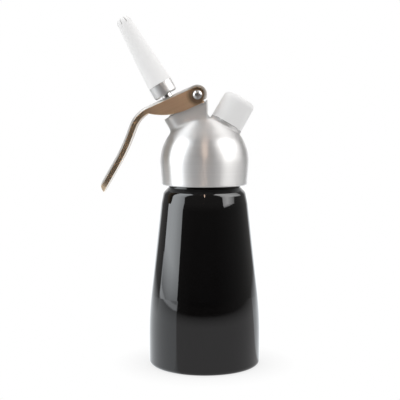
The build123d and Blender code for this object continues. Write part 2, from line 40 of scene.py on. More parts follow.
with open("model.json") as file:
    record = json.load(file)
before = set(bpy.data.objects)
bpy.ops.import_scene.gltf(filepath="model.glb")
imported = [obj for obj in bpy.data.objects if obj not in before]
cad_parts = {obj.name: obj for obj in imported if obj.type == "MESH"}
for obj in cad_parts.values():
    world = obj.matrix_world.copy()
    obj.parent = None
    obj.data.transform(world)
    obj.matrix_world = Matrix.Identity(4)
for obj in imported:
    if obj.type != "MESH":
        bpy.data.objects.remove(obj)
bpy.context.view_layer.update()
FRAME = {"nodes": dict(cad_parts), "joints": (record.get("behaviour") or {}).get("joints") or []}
NODES = FRAME["nodes"]
JOINTS = {joint["name"]: joint for joint in FRAME["joints"]}

# ---------------------------------------------------------------- fixed sizes, in metres
END_BAND = 0.0001  # how far from a node's end its radius is still read
LACQUER_LAP = 0.0002  # how far under the head's rim the lacquer ends
FACING_AXIS = -0.0005  # normal times offset from the axis, under which a face looks at the axis
LEVEL_FLOOR = 0.5  # upward part of a normal, over which a face is a floor
INSIDE_FLOOR = 0.01  # height that the floor inside the bottle stays under
BLAST_FADE = (0.002, 0.0015)  # how far the head's two finishes mix, under and over their border
LATHE_PITCH = 0.0003  # spacing of the rings on the small turned pieces
GRIP_SHADE_FADE = (-0.042, -0.034)  # X where the painted shade on the grip's flanks starts to fade, and where it ends
AXLE_SHADE_FADE = (0.0052, 0.0078)  # the same for the painted shade round the axle, as distances from it
SCREW_SHADE_FADE = (0.0027, 0.0032)  # where the painted shade on the screw's rim starts, and where it is full
NECK_PLAIN = 0.0022  # plain stretch at each end of the neck's thread
ADAPTER_PLAIN = 0.0008  # the same on the nozzle adapter
PORT_PLAIN = (0.0015, 0.0012)  # the same on the gas port, at the foot and at the top

# Thread crests
CREST_SHARE = 0.36  # half a crest's foot, as a share of the pitch
CREST_CORNERS = 10  # of the circle that becomes a crest's section
STEPS_PER_TURN = 64
SMOOTH_ANGLE = math.radians(35)

# Directions
UP = Vector((0, 0, 1))
LEVER_BACK_SIDE = (-0.7, 0, 0.7)
BRIGHT_REFLECTION_SIDE = (-0.5, 0.866, 0)

# The room that reflections see: a heading runs from -1 in front to 1 behind
BACKDROP_EDGE = (0.8, 0.88)  # headings between which the bright backdrop begins
ROOM_DEPTH = (-0.9, 0.5)  # headings between which the walls grow lighter
ROOM_BACK = (0.27, 0.265, 0.26)
TABLE_SIZE = 8
TABLE_GREY = (0.82, 0.82, 0.82, 1.0)
WHITE = (1.0, 1.0, 1.0)
COOL = (0.93, 0.97, 1.0)
WARM = (1.0, 0.72, 0.55)
SENSOR_WIDTH = 36  # in millimetres


# ---------------------------------------------------------------- places read from the frame
def joint_axis(name):
    return Vector(JOINTS[name]["axis"]).normalized()


NECK_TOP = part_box("bottle")[1].z
NECK_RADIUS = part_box("head_gasket")[1].x
RIM_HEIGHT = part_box("head")[0].z
HEAD_CENTRE = Vector((0, 0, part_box("head_gasket")[1].z))
NOZZLE_AXIS = joint_axis("nozzle_off")
PORT_AXIS = joint_axis("cap_off")
PIVOT = Vector(JOINTS["lever_press"]["pos_m"])


def reach(node, axis):
    """Lowest and highest distance of a CAD node's corners along an axis from the head's centre."""
    spots = [(corner.co - HEAD_CENTRE).dot(axis) for corner in NODES[node].data.vertices]
    return min(spots), max(spots)


def top_radius(node, axis):
    """Outer radius of a CAD node where it ends along an axis."""
    band = reach(node, axis)[1] - END_BAND
    offsets = [corner.co - HEAD_CENTRE for corner in NODES[node].data.vertices]
    return max((spot - axis * spot.dot(axis)).length for spot in offsets if spot.dot(axis) > band)


# ---------------------------------------------------------------- settings
class DispenserSizes(bpy.types.PropertyGroup):
    """Sizes of the details that are added to the parts"""

    neck_pitch: FloatProperty(
        name="Neck pitch", description="Height of one turn of the bottle's thread",
        default=0.003, unit="LENGTH",
    )
    port_pitch: FloatProperty(
        name="Port pitch", description="Height of one turn of the gas port's thread",
        default=0.0015, unit="LENGTH",
    )
    adapter_pitch: FloatProperty(
        name="Adapter pitch", description="Height of one turn of the nozzle adapter's thread",
        default=0.0012, unit="LENGTH",
    )
    thread_relief: FloatProperty(
        name="Thread height", description="How far a thread's crest stands over its cylinder",
        default=0.00018, unit="LENGTH",
    )
    turning_pitch: FloatProperty(
        name="Turning pitch", description="Spacing of the lathe rings on the head",
        default=0.00035, unit="LENGTH",
    )
    lever_slope: FloatProperty(
        name="Lever slope", description="How far the lever's brush lines slope down from the axle",
        default=math.radians(24), subtype="ANGLE",
    )
    blast_height: FloatProperty(
        name="Blast height",
        description="Height over the table where the head's blasted finish begins",
        default=0.152, unit="LENGTH",
    )


class DispenserColours(bpy.types.PropertyGroup):
    """Colours of the parts"""

    lacquer: FloatVectorProperty(
        name="Lacquer", description="Colour of the bottle's lacquer",
        default=(0.001, 0.0009, 0.001), subtype="COLOR", min=0, max=1,
    )
    aluminium: FloatVectorProperty(
        name="Aluminium", description="Colour of the head, the bottle's neck and the collar",
        default=(0.62, 0.61, 0.602), subtype="COLOR", min=0, max=1,
    )
    # The golden tone is painted warm reflection; the real steel is neutral
    lever_steel: FloatVectorProperty(
        name="Lever steel", description="Colour of the pressed lever's cheeks and underside",
        default=(0.55, 0.425, 0.295), subtype="COLOR", min=0, max=1,
    )
    # Neutral steel, lightened further in the lever material as painted highlight
    lever_back: FloatVectorProperty(
        name="Lever back", description="Colour of the lever's rubbed back",
        default=(0.56, 0.54, 0.51), subtype="COLOR", min=0, max=1,
    )
    bright_steel: FloatVectorProperty(
        name="Bright steel", description="Colour of the axle, the valve and the gas inlet",
        default=(0.7, 0.69, 0.68), subtype="COLOR", min=0, max=1,
    )
    plastic: FloatVectorProperty(
        name="Plastic", description="Colour of the nozzle's tip and the port's cap",
        default=(0.96, 0.952, 0.945), subtype="COLOR", min=0, max=1,
    )
    silicone: FloatVectorProperty(
        name="Silicone", description="Colour of the seals",
        default=(0.6, 0.58, 0.55), subtype="COLOR", min=0, max=1,
    )


class DispenserStudio(bpy.types.PropertyGroup):
    """Camera and light"""

    camera_distance: FloatProperty(
        name="Camera distance", description="From the bottle's axis", default=0.64, unit="LENGTH"
    )
    camera_height: FloatProperty(
        name="Camera height", description="Over the table", default=0.166, unit="LENGTH"
    )
    camera_side: FloatProperty(
        name="Camera side", description="How far the camera stands to the right of the bottle",
        default=-0.003, unit="LENGTH",
    )
    camera_tilt: FloatProperty(
        name="Camera tilt", description="How far the camera looks down",
        default=math.radians(4.97), subtype="ANGLE",
    )
    focal_length: FloatProperty(
        name="Focal length", description="In millimetres, on a sensor of 36 mm", default=86.5, min=1
    )
    fill: FloatProperty(
        name="Fill", description="Strength of the light from all round", default=0.66, min=0
    )


# ---------------------------------------------------------------- shader helpers
def feed(tree, target, value):
    """Links a socket to a target, or sets the target to a fixed value."""
    if isinstance(value, bpy.types.NodeSocket):
        tree.links.new(value, target)
    else:
        target.default_value = value


def new_node(tree, kind, place, inputs=None, **settings):
    """Adds a node, sets its properties, and feeds its inputs by name or number."""
    made = tree.nodes.new(kind)
    made.location = place
    for name, value in settings.items():
        setattr(made, name, value)
    for name, value in (inputs or {}).items():
        feed(tree, made.inputs[name], value)
    return made


def object_spots(tree, place):
    """The object's own coordinates."""
    return new_node(tree, "ShaderNodeTexCoord", place).outputs["Object"]


def face_normal(tree, place):
    return new_node(tree, "ShaderNodeNewGeometry", place).outputs["Normal"]


def split(tree, place, vector):
    """The X, Y and Z of a vector."""
    return new_node(tree, "ShaderNodeSeparateXYZ", place, {0: vector}).outputs


def combine(tree, place, **parts):
    """A vector of sockets or numbers."""
    return new_node(tree, "ShaderNodeCombineXYZ", place, parts).outputs[0]


def math_node(tree, operation, place, first, second=None, clamp=False):
    inputs = {0: first} if second is None else {0: first, 1: second}
    made = new_node(tree, "ShaderNodeMath", place, inputs, operation=operation, use_clamp=clamp)
    return made.outputs[0]


def vector_node(tree, operation, place, first, second=None):
    inputs = {0: first} if second is None else {0: first, 1: second}
    made = new_node(tree, "ShaderNodeVectorMath", place, inputs, operation=operation)
    return made.outputs["Value" if operation in ("LENGTH", "DOT_PRODUCT") else "Vector"]


def noise(tree, place, vector, **inputs):
    return new_node(tree, "ShaderNodeTexNoise", place, {"Vector": vector, **inputs}).outputs[0]


def blend(tree, place, share, first, second):
    """Mixes two colours, each a socket or a colour, by a socket."""
    inputs = {"Factor": share}
    for slot, value in ((6, first), (7, second)):
        inputs[slot] = value if isinstance(value, bpy.types.NodeSocket) else (*value, 1.0)
    return new_node(tree, "ShaderNodeMix", place, inputs, data_type="RGBA").outputs[2]


def mix_values(tree, place, share, first, second):
    """Mixes two values, each a socket or a number, by a socket."""
    inputs = {0: share, 2: first, 3: second}
    return new_node(tree, "ShaderNodeMix", place, inputs, data_type="FLOAT").outputs[0]


def mix_shaders(tree, place, share, first, second):
    return new_node(tree, "ShaderNodeMixShader", place, {0: share, 1: first, 2: second}).outputs[0]


def ramp(tree, place, value, start=0.0, end=1.0, low=0.0, high=1.0):
    """Turns a value that runs from start to end into one that runs from low to high."""
    inputs = {"Value": value, "From Min": start, "From Max": end, "To Min": low, "To Max": high}
    return new_node(tree, "ShaderNodeMapRange", place, inputs).outputs[0]


def bump(tree, place, height, strength, distance, under=None):
    inputs = {"Strength": strength, "Distance": distance, "Height": height}
    if under is not None:
        inputs["Normal"] = under
    return new_node(tree, "ShaderNodeBump", place, inputs).outputs[0]


def shade(colour, factor):
    return tuple(min(1.0, part * factor) for part in colour)


def tones(tree, place, share, colour, dark, light):
    """Varies a colour between two factors of itself."""
    return blend(tree, place, share, shade(colour, dark), shade(colour, light))


def turned_vector(tree, spots, place, axis):
    """Coordinates about the head's centre, turned so that an axis becomes Z."""
    turn = axis.to_track_quat("Z", "Y").to_matrix().inverted()
    inputs = {"Vector": spots, "Rotation": turn.to_euler(), "Location": -(turn @ HEAD_CENTRE)}
    return new_node(tree, "ShaderNodeMapping", place, inputs, vector_type="POINT").outputs[0]


# ---------------------------------------------------------------- shared effects
def start_group(name, inputs, outputs):
    """A shader node group. An input whose default is None is a vector, the rest are numbers."""
    tree = bpy.data.node_groups.new(name, "ShaderNodeTree")
    for label, value in inputs.items():
        kind = "NodeSocketVector" if value is None else "NodeSocketFloat"
        socket = tree.interface.new_socket(label, in_out="INPUT", socket_type=kind)
        if value is not None:
            socket.default_value = value
    for label in outputs:
        tree.interface.new_socket(label, in_out="OUTPUT", socket_type="NodeSocketFloat")
    entry = new_node(tree, "NodeGroupInput", (-900, 0))
    leave = new_node(tree, "NodeGroupOutput", (700, 0))
    return tree, entry.outputs, leave.inputs


def marks_group():
    """Handling marks: a soft value from 0 to 1 that varies over a piece."""
    inputs = {"Vector": None, "Scale": 40.0, "Contrast": 2.0}
    tree, entry, leave = start_group("Handling Marks", inputs, ["Marks"])
    clouds = noise(
        tree, (-600, 100), entry["Vector"],
        Scale=entry["Scale"], Detail=4.0, Roughness=0.6, Distortion=0.6,
    )
    centred = math_node(tree, "SUBTRACT", (-350, 100), clouds, 0.5)
    stretched = math_node(tree, "MULTIPLY", (-150, 100), centred, entry["Contrast"])
    feed(tree, leave["Marks"], math_node(tree, "ADD", (50, 100), stretched, 0.5, clamp=True))
    return tree


def grain_group():
    """Fine grain, such as bead blasting or a moulded surface, as a height."""
    tree, entry, leave = start_group("Fine Grain", {"Vector": None, "Size": 0.0004}, ["Height"])
    scale = math_node(tree, "DIVIDE", (-700, -150), 1.0, entry["Size"])
    fine = noise(tree, (-450, 100), entry["Vector"], Scale=scale, Detail=3.0, Roughness=0.7)
    feed(tree, leave["Height"], fine)
    return tree


def rings_group():
    """Lathe rings about the Z axis of the incoming vector: a height, and a tone for each band."""
    inputs = {"Vector": None, "Pitch": 0.00035, "Waver": 15.0}
    tree, entry, leave = start_group("Lathe Rings", inputs, ["Height", "Tone"])
    parts = split(tree, (-700, 100), entry["Vector"])
    turns = math_node(tree, "DIVIDE", (-500, 150), parts["Z"], entry["Pitch"])
    waver = math_node(tree, "MULTIPLY", (-500, -200), parts["X"], entry["Waver"])
    flat = combine(tree, (-500, -50), X=waver, Z=turns)
    cuts = noise(tree, (-250, 150), flat, Scale=1.0, Detail=2.0, Roughness=0.6)
    bands = noise(tree, (-250, -150), flat, Scale=0.12, Detail=4.0, Roughness=0.7)
    feed(tree, leave["Height"], cuts)
    feed(tree, leave["Tone"], bands)
    return tree


def brush_group():
    """Brush lines along the X axis of the incoming vector: a height and a tone."""
    inputs = {"Vector": None, "Line": 0.0002, "Length": 0.012}
    tree, entry, leave = start_group("Brush Lines", inputs, ["Height", "Tone"])
    parts = split(tree, (-700, 100), entry["Vector"])
    along = math_node(tree, "DIVIDE", (-500, 200), parts["X"], entry["Length"])
    across = math_node(tree, "DIVIDE", (-500, 50), parts["Y"], entry["Line"])
    up = math_node(tree, "DIVIDE", (-500, -100), parts["Z"], entry["Line"])
    drawn = combine(tree, (-300, 100), X=along, Y=across, Z=up)
    lines = noise(tree, (-100, 150), drawn, Scale=1.0, Detail=2.0, Roughness=0.55)
    bands = noise(tree, (-100, -150), drawn, Scale=0.2, Detail=3.0, Roughness=0.6)
    feed(tree, leave["Height"], lines)
    feed(tree, leave["Tone"], bands)
    return tree


def flow_group():
    """Flow lines of moulding along the Z axis of the incoming vector, from 0 to 1."""
    inputs = {"Vector": None, "Across": 220.0, "Along": 35.0}
    tree, entry, leave = start_group("Flow Lines", inputs, ["Lines"])
    density = combine(
        tree, (-600, -100), X=entry["Across"], Y=entry["Across"], Z=entry["Along"]
    )
    drawn = vector_node(tree, "MULTIPLY", (-350, 100), entry["Vector"], density)
    feed(tree, leave["Lines"], noise(tree, (-100, 100), drawn, Scale=1.0, Detail=3.0))
    return tree


def axle_group():
    """How far a spot lies from the lever's axle."""
    tree, entry, leave = start_group("Axle Distance", {"Vector": None}, ["Distance"])
    offset = vector_node(tree, "SUBTRACT", (-600, 100), entry["Vector"], PIVOT)
    flat = vector_node(tree, "MULTIPLY", (-350, 100), offset, (1, 0, 1))
    feed(tree, leave["Distance"], vector_node(tree, "LENGTH", (-100, 100), flat))
    return tree


def edge_group():
    """Painted edge highlight: a mask that is 1 on sharp edges and 0 on open surfaces."""
    tree, entry, leave = start_group("Edge Glint", {"Width": 0.0004, "Strength": 6.0}, ["Edge"])
    soft = new_node(tree, "ShaderNodeBevel", (-600, 100), {"Radius": entry["Width"]}, samples=4)
    plain = face_normal(tree, (-600, -150))
    same = vector_node(tree, "DOT_PRODUCT", (-350, 0), soft.outputs[0], plain)
    apart = math_node(tree, "SUBTRACT", (-150, 0), 1.0, same)
    strong = math_node(tree, "MULTIPLY", (50, 0), apart, entry["Strength"], clamp=True)
    feed(tree, leave["Edge"], strong)
    return tree


GROUPS = {}


def build_groups():
    GROUPS.update(
        marks=marks_group(), grain=grain_group(), rings=rings_group(), brush=brush_group(),
        flow=flow_group(), axle=axle_group(), edge=edge_group(),
    )


def place_group(tree, key, place, vector=None, **values):
    """Places a shared group in a material, with its own values."""
    inputs = values if vector is None else {"Vector": vector, **values}
    return new_node(tree, "ShaderNodeGroup", place, inputs, node_tree=GROUPS[key]).outputs


# ---------------------------------------------------------------- materials
def start_material(name):
    """A node material with the object's own coordinates."""
    made = bpy.data.materials.new(name)
    made.use_nodes = True
    tree = made.node_tree
    tree.nodes["Principled BSDF"].location = (400, 0)
    tree.nodes["Material Output"].location = (700, 0)
    return made, tree, object_spots(tree, (-1200, 0))


def set_shader(made, inputs):
    """Feeds the inputs of a material's Principled shader by name."""
    tree = made.node_tree
    for name, value in inputs.items():
        feed(tree, tree.nodes["Principled BSDF"].inputs[name], value)
    return made


def lacquer_material(colours):
    """Gloss lacquer outside, bare drawn aluminium on the neck and inside."""
    made, tree, spots = start_material("Bottle Lacquer")
    height = split(tree, (-1000, 200), spots)["Z"]
    normal = face_normal(tree, (-1000, -200))

    # Bare: the neck over the collar, and every face that looks at the axis or up from the floor
    neck = math_node(tree, "GREATER_THAN", (-820, 250), height, RIM_HEIGHT - LACQUER_LAP)
    flat = vector_node(tree, "MULTIPLY", (-1000, 0), spots, (1, 1, 0))
    outward = vector_node(tree, "DOT_PRODUCT", (-820, -50), normal, flat)
    inward = math_node(tree, "LESS_THAN", (-600, -100), outward, FACING_AXIS)
    upward = split(tree, (-820, -220), normal)["Z"]
    level = math_node(tree, "GREATER_THAN", (-600, -250), upward, LEVEL_FLOOR)
    low = math_node(tree, "LESS_THAN", (-600, -400), height, INSIDE_FLOOR)
    ground = math_node(tree, "MULTIPLY", (-420, -300), level, low)
    inside = math_node(tree, "MAXIMUM", (-420, -100), inward, ground)
    bare = math_node(tree, "MAXIMUM", (-250, 100), neck, inside)

    marks = place_group(tree, "marks", (-820, -450), spots, Scale=28.0, Contrast=2.2)["Marks"]
    peel = place_group(tree, "grain", (-820, -650), spots, Size=0.0022)["Height"]
    drawn = place_group(tree, "rings", (-820, -850), spots, Pitch=0.0006)["Tone"]
    skin = tones(tree, (-250, -250), marks, colours.lacquer, dark=1.0, light=1.8)
    metal = tones(tree, (-250, -450), drawn, colours.aluminium, dark=0.8, light=1.0)
    gloss = ramp(tree, (-250, -620), marks, low=0.02, high=0.055)
    return set_shader(made, {
        "Base Color": blend(tree, (0, 100), bare, skin, metal),
        "Metallic": bare,
        "Roughness": mix_values(tree, (0, -150), bare, gloss, 0.32),
        "Normal": bump(tree, (0, -400), peel, strength=0.05, distance=0.00008),
    })


def turned_material(colours, sizes):
    """Aluminium, finely turned round the axis below and bead blasted above."""
    made, tree, spots = start_material("Head Aluminium")
    height = split(tree, (-1000, 200), spots)["Z"]
    border = sizes.blast_height
    blasted = ramp(
        tree, (-820, 250), height, start=border - BLAST_FADE[0], end=border + BLAST_FADE[1]
    )
    rings = place_group(tree, "rings", (-820, 0), spots, Pitch=sizes.turning_pitch)
    grain = place_group(tree, "grain", (-820, -250), spots, Size=0.00035)["Height"]
    marks = place_group(tree, "marks", (-820, -450), spots, Scale=45.0, Contrast=1.8)["Marks"]
    edge = place_group(tree, "edge", (-820, -650))["Edge"]

    turned = tones(tree, (-500, 200), rings["Tone"], colours.aluminium, dark=0.79, light=1.1)
    soft = tones(tree, (-500, 0), marks, colours.aluminium, dark=0.93, light=1.03)
    body = blend(tree, (-250, 150), blasted, turned, soft)
    satin = ramp(tree, (-500, -250), rings["Tone"], low=0.39, high=0.46)
    frost = ramp(tree, (-500, -450), marks, low=0.7, high=0.78)
    relief = mix_values(tree, (-250, -550), blasted, rings["Height"], grain)
    tangent = new_node(tree, "ShaderNodeTangent", (0, -650), direction_type="RADIAL", axis="Z")
    return set_shader(made, {
        # Sharp edges are lightened: painted highlight
        "Base Color": blend(tree, (0, 150), edge, body, shade(colours.aluminium, 1.2)),
        "Metallic": 0.64,
        "Roughness": mix_values(tree, (-250, -300), blasted, satin, frost),
        "Normal": bump(tree, (0, -400), relief, strength=0.25, distance=0.00006),
        "Tangent": tangent.outputs[0],
        "Anisotropic": 0.88,
        "Anisotropic Rotation": 0.25,
    })


def lathe_material(name, colour, axis, smooth=0.2, rough=0.3):
    """Metal turned round an axis."""
    made, tree, spots = start_material(name)
    vector = turned_vector(tree, spots, (-1000, 0), axis)
    rings = place_group(tree, "rings", (-760, 0), vector, Pitch=LATHE_PITCH)
    marks = place_group(tree, "marks", (-760, -250), spots, Scale=90.0, Contrast=1.8)["Marks"]
    edge = place_group(tree, "edge", (-760, -450), Width=0.0003)["Edge"]
    tone = tones(tree, (-450, 100), rings["Tone"], colour, dark=0.85, light=1.08)
    return set_shader(made, {
        # Sharp edges are lightened: painted highlight
        "Base Color": blend(tree, (0, 100), edge, tone, shade(colour, 1.25)),
        "Metallic": 1.0,
        "Roughness": ramp(tree, (-250, -150), marks, low=smooth, high=rough),
        "Normal": bump(tree, (0, -300), rings["Height"], strength=0.2, distance=0.00005),
    })


def lever_material(colours, sizes):
    """Pressed steel, brushed along the lever: the golden cheeks are a painted warm reflection, the
    pale back a painted highlight over neutral steel.
    """
    made, tree, spots = start_material("Lever Steel")
    steel = colours.lever_steel
    along = Vector((-math.cos(sizes.lever_slope), 0, -math.sin(sizes.lever_slope)))
    turn = along.to_track_quat("X", "Y").to_matrix().inverted()
    inputs = {"Vector": spots, "Rotation": turn.to_euler()}
    lay = new_node(tree, "ShaderNodeMapping", (-1000, 0), inputs).outputs[0]
    brush = place_group(tree, "brush", (-760, 0), lay, Line=0.00025, Length=0.01)
    marks = place_group(tree, "marks", (-760, -250), spots, Scale=60.0, Contrast=2.0)["Marks"]
    edge = place_group(tree, "edge", (-760, -450), Width=0.0005, Strength=5.0)["Edge"]
    tone = tones(tree, (-450, 100), brush["Tone"], steel, dark=0.76, light=0.98)

    # Darker on the flanks of the grip: painted shade for the dark room that they face
    across = split(tree, (-1000, 350), spots)["X"]
    grip = ramp(tree, (-820, 350), across, *GRIP_SHADE_FADE, low=1.0, high=0.0)
    tone = blend(tree, (-300, 350), grip, tone, shade(steel, 0.55))

    # Paler along the crowned back, which faces up and left towards the lamps: painted highlight
    # over the steel's neutral tone
    normal = face_normal(tree, (-1000, 750))
    facing = vector_node(tree, "DOT_PRODUCT", (-820, 750), normal, LEVER_BACK_SIDE)
    back = ramp(tree, (-460, 750), facing, start=0.25, end=0.55)
    highlit = tones(tree, (-300, 750), brush["Tone"], colours.lever_back, dark=0.88, light=1.1)
    tone = blend(tree, (-220, 450), back, tone, highlit)

    # Painted shade round the axle, darkening the steel near the screw
    away = place_group(tree, "axle", (-760, 550), spots)["Distance"]
    axle_shade = ramp(tree, (-460, 550), away, *AXLE_SHADE_FADE, low=1.0, high=0.0)
    tone = blend(tree, (-150, 350), axle_shade, tone, shade(steel, 0.32))
    return set_shader(made, {
        # Sharp edges are lightened: painted highlight
        "Base Color": blend(tree, (0, 100), edge, tone, shade(steel, 1.45)),
        "Metallic": 1.0,
        "Roughness": ramp(tree, (-250, -150), marks, low=0.32, high=0.42),
        "Normal": bump(tree, (0, -300), brush["Height"], strength=0.2, distance=0.00005),
        "Anisotropic": 0.8,
        "Anisotropic Rotation": 0.25,
    })


def axle_material(colours):
    """Plated axle and screw, bright in the middle, with painted shade round the rim of the screw's
    head.
    """
    made, tree, spots = start_material("Axle Plate")
    marks = place_group(tree, "marks", (-760, -100), spots, Scale=160.0, Contrast=2.0)["Marks"]
    away = place_group(tree, "axle", (-760, 350), spots)["Distance"]
    tone = tones(tree, (-400, 100), marks, colours.bright_steel, dark=0.44, light=0.56)
    # Painted shade: the rim of the screw's head turns dark brown, as if shadowed by the lever's
    # wrapped end
    rim = ramp(tree, (-400, 350), away, *SCREW_SHADE_FADE)
    return set_shader(made, {
        "Base Color": blend(tree, (0, 100), rim, tone, shade(colours.lever_steel, 0.22)),
        "Metallic": 1.0,
        "Roughness": ramp(tree, (-250, -150), marks, low=0.3, high=0.38),
    })


def spring_material(colour):
    """Polished spring wire with faint handling marks."""
    made, tree, spots = start_material("Spring Steel")
    marks = place_group(tree, "marks", (-760, -100), spots, Scale=160.0, Contrast=2.0)["Marks"]
    edge = place_group(tree, "edge", (-760, -350), Width=0.0002)["Edge"]
    tone = tones(tree, (-400, 100), marks, colour, dark=0.9, light=1.05)
    return set_shader(made, {
        # Sharp edges are lightened: painted highlight
        "Base Color": blend(tree, (0, 100), edge, tone, shade(colour, 1.25)),
        "Metallic": 1.0,
        "Roughness": ramp(tree, (-250, -150), marks, low=0.18, high=0.28),
    })


def plastic_material(name, colour, axis, gloss):
    """Frosted white plastic with faint flow lines along its axis."""
    made, tree, spots = start_material(name)
    vector = turned_vector(tree, spots, (-1000, 0), axis)
    flow = place_group(tree, "flow", (-640, 100), vector)["Lines"]
    grain = place_group(tree, "grain", (-640, -250), spots, Size=0.0007)["Height"]
    skin = bump(tree, (-60, -300), grain, strength=0.06, distance=0.0001)
    return set_shader(made, {
        "Base Color": tones(tree, (-60, 150), flow, colour, dark=0.97, light=1.02),
        "Roughness": ramp(tree, (-60, -100), flow, low=0.42, high=0.52),
        "Specular IOR Level": gloss,
        "Normal": bump(tree, (150, -300), flow, strength=0.1, distance=0.0002, under=skin),
    })


def silicone_material(colour):
    """Matte moulded silicone."""
    made, tree, spots = start_material("Seal Silicone")
    grain = place_group(tree, "grain", (-760, -100), spots, Size=0.0003)["Height"]
    marks = place_group(tree, "marks", (-760, -300), spots, Scale=120.0, Contrast=1.6)["Marks"]
    return set_shader(made, {
        "Base Color": tones(tree, (-400, 100), marks, colour, dark=0.88, light=1.05),
        "Roughness": ramp(tree, (-250, -150), marks, low=0.5, high=0.65),
        "Normal": bump(tree, (0, -300), grain, strength=0.3, distance=0.00005),
    })


def dress(names, material):
    """Gives CAD nodes a material through their slots."""
    for name in names:
        for slot in NODES[name].material_slots:
            slot.material = material


# ---------------------------------------------------------------- mesh helpers
def deselect():
    if bpy.context.object and bpy.context.object.mode != "OBJECT":
        bpy.ops.object.mode_set(mode="OBJECT")
    bpy.ops.object.select_all(action="DESELECT")


def finish_piece(piece, name, body, material):
    """Bakes a piece's place into its mesh, smooths it, and hangs it on its body."""
    piece.name = name
    bpy.ops.object.transform_apply(location=True, rotation=True, scale=True)
    bpy.ops.object.shade_smooth_by_angle(angle=SMOOTH_ANGLE)
    piece.data.materials.clear()
    piece.data.materials.append(material)
    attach(piece, body)


def thread_ridge(radius, low, high, pitch, relief, axis, centre):
    """A helical ridge round a cylinder, from a squeezed circle that a Screw modifier sweeps."""
    half_foot = pitch * CREST_SHARE
    deselect()
    bpy.ops.mesh.primitive_circle_add(
        vertices=CREST_CORNERS, radius=half_foot, rotation=(math.pi / 2, 0, 0)
    )
    ridge = bpy.context.object
    bpy.ops.object.transform_apply(rotation=True)
    bpy.ops.object.mode_set(mode="EDIT")
    bpy.ops.mesh.select_all(action="SELECT")
    bpy.ops.transform.resize(value=(relief / half_foot, 1, 1))
    bpy.ops.transform.translate(value=(radius, 0, low))
    bpy.ops.object.mode_set(mode="OBJECT")
    turns = (high - low) / pitch
    wind = ridge.modifiers.new("Wind", "SCREW")
    wind.angle = 2 * math.pi * turns
    wind.screw_offset = high - low
    wind.steps = wind.render_steps = int(STEPS_PER_TURN * turns)
    wind.use_merge_vertices = True
    bpy.ops.object.modifier_apply(modifier="Wind")

    # Caps at both ends
    bpy.ops.object.mode_set(mode="EDIT")
    bpy.ops.mesh.select_all(action="SELECT")
    bpy.ops.mesh.region_to_loop()
    bpy.ops.mesh.edge_face_add()
    bpy.ops.mesh.select_all(action="SELECT")
    bpy.ops.mesh.normals_make_consistent(inside=False)
    bpy.ops.object.mode_set(mode="OBJECT")
    ridge.rotation_mode = "QUATERNION"
    ridge.rotation_quaternion = axis.to_track_quat("Z", "Y")
    ridge.location = centre
    return ridge


# ---------------------------------------------------------------- operators
class DressBottle(bpy.types.Operator):
    """Lacquers the bottle and cuts the thread on its neck"""

    bl_idname = "dispenser.dress_bottle"
    bl_label = "Bottle"

    def execute(self, context):
        sizes, colours = context.scene.dispenser_sizes, context.scene.dispenser_colours
        dress(["bottle"], lacquer_material(colours))
        metal = lathe_material("Neck Aluminium", colours.aluminium, UP, smooth=0.24, rough=0.34)
        ridge = thread_ridge(
            NECK_RADIUS, RIM_HEIGHT + NECK_PLAIN, NECK_TOP - NECK_PLAIN,
            sizes.neck_pitch, sizes.thread_relief, UP, Vector((0, 0, 0)),
        )
        finish_piece(ridge, "bottle_thread", "bottle_body", metal)
        return {"FINISHED"}


class DressHead(bpy.types.Operator):
    """Turns and blasts the head"""

    bl_idname = "dispenser.dress_head"
    bl_label = "Head"

    def execute(self, context):
        sizes, colours = context.scene.dispenser_sizes, context.scene.dispenser_colours
        dress(["head"], turned_material(colours, sizes))
        return {"FINISHED"}


class DressLever(bpy.types.Operator):
    """Brushes the lever and plates its axle"""

    bl_idname = "dispenser.dress_lever"
    bl_label = "Lever and axle"

    def execute(self, context):
        sizes, colours = context.scene.dispenser_sizes, context.scene.dispenser_colours
        dress(["lever"], lever_material(colours, sizes))
        dress(["pivot_screw", "pivot_barrel"], axle_material(colours))
        return {"FINISHED"}


class DressValve(bpy.types.Operator):
    """Finishes the valve and winds the thread on its adapter"""

    bl_idname = "dispenser.dress_valve"
    bl_label = "Valve"

    def execute(self, context):
        sizes, colours = context.scene.dispenser_sizes, context.scene.dispenser_colours
        steel = lathe_material("Valve Steel", colours.bright_steel, NOZZLE_AXIS)
        dress(["valve_spindle", "nozzle_adapter"], steel)
        dress(["valve_spring"], spring_material(colours.bright_steel))
        foot, top = reach("tip_collar", NOZZLE_AXIS)[0], reach("nozzle_adapter", NOZZLE_AXIS)[1]
        ridge = thread_ridge(
            top_radius("nozzle_adapter", NOZZLE_AXIS), foot + ADAPTER_PLAIN, top - ADAPTER_PLAIN,
            sizes.adapter_pitch, sizes.thread_relief, NOZZLE_AXIS, HEAD_CENTRE,
        )
        finish_piece(ridge, "adapter_thread", "valve_body", steel)
        return {"FINISHED"}


class DressNozzle(bpy.types.Operator):
    """Finishes the nozzle's collar and its frosted tip"""

    bl_idname = "dispenser.dress_nozzle"
    bl_label = "Nozzle"

    def execute(self, context):
        colours = context.scene.dispenser_colours
        # Painted shade: the collar takes a darker copy of the head's aluminium, so that its lit
        # side does not burn out
        shaded_copy = shade(colours.aluminium, 0.74)
        satin = lathe_material("Collar Aluminium", shaded_copy, NOZZLE_AXIS, smooth=0.5, rough=0.58)
        frosted = plastic_material("Tip Plastic", colours.plastic, NOZZLE_AXIS, gloss=0.0)
        dress(["tip_collar"], satin)
        dress(["decorating_tip"], frosted)
        return {"FINISHED"}


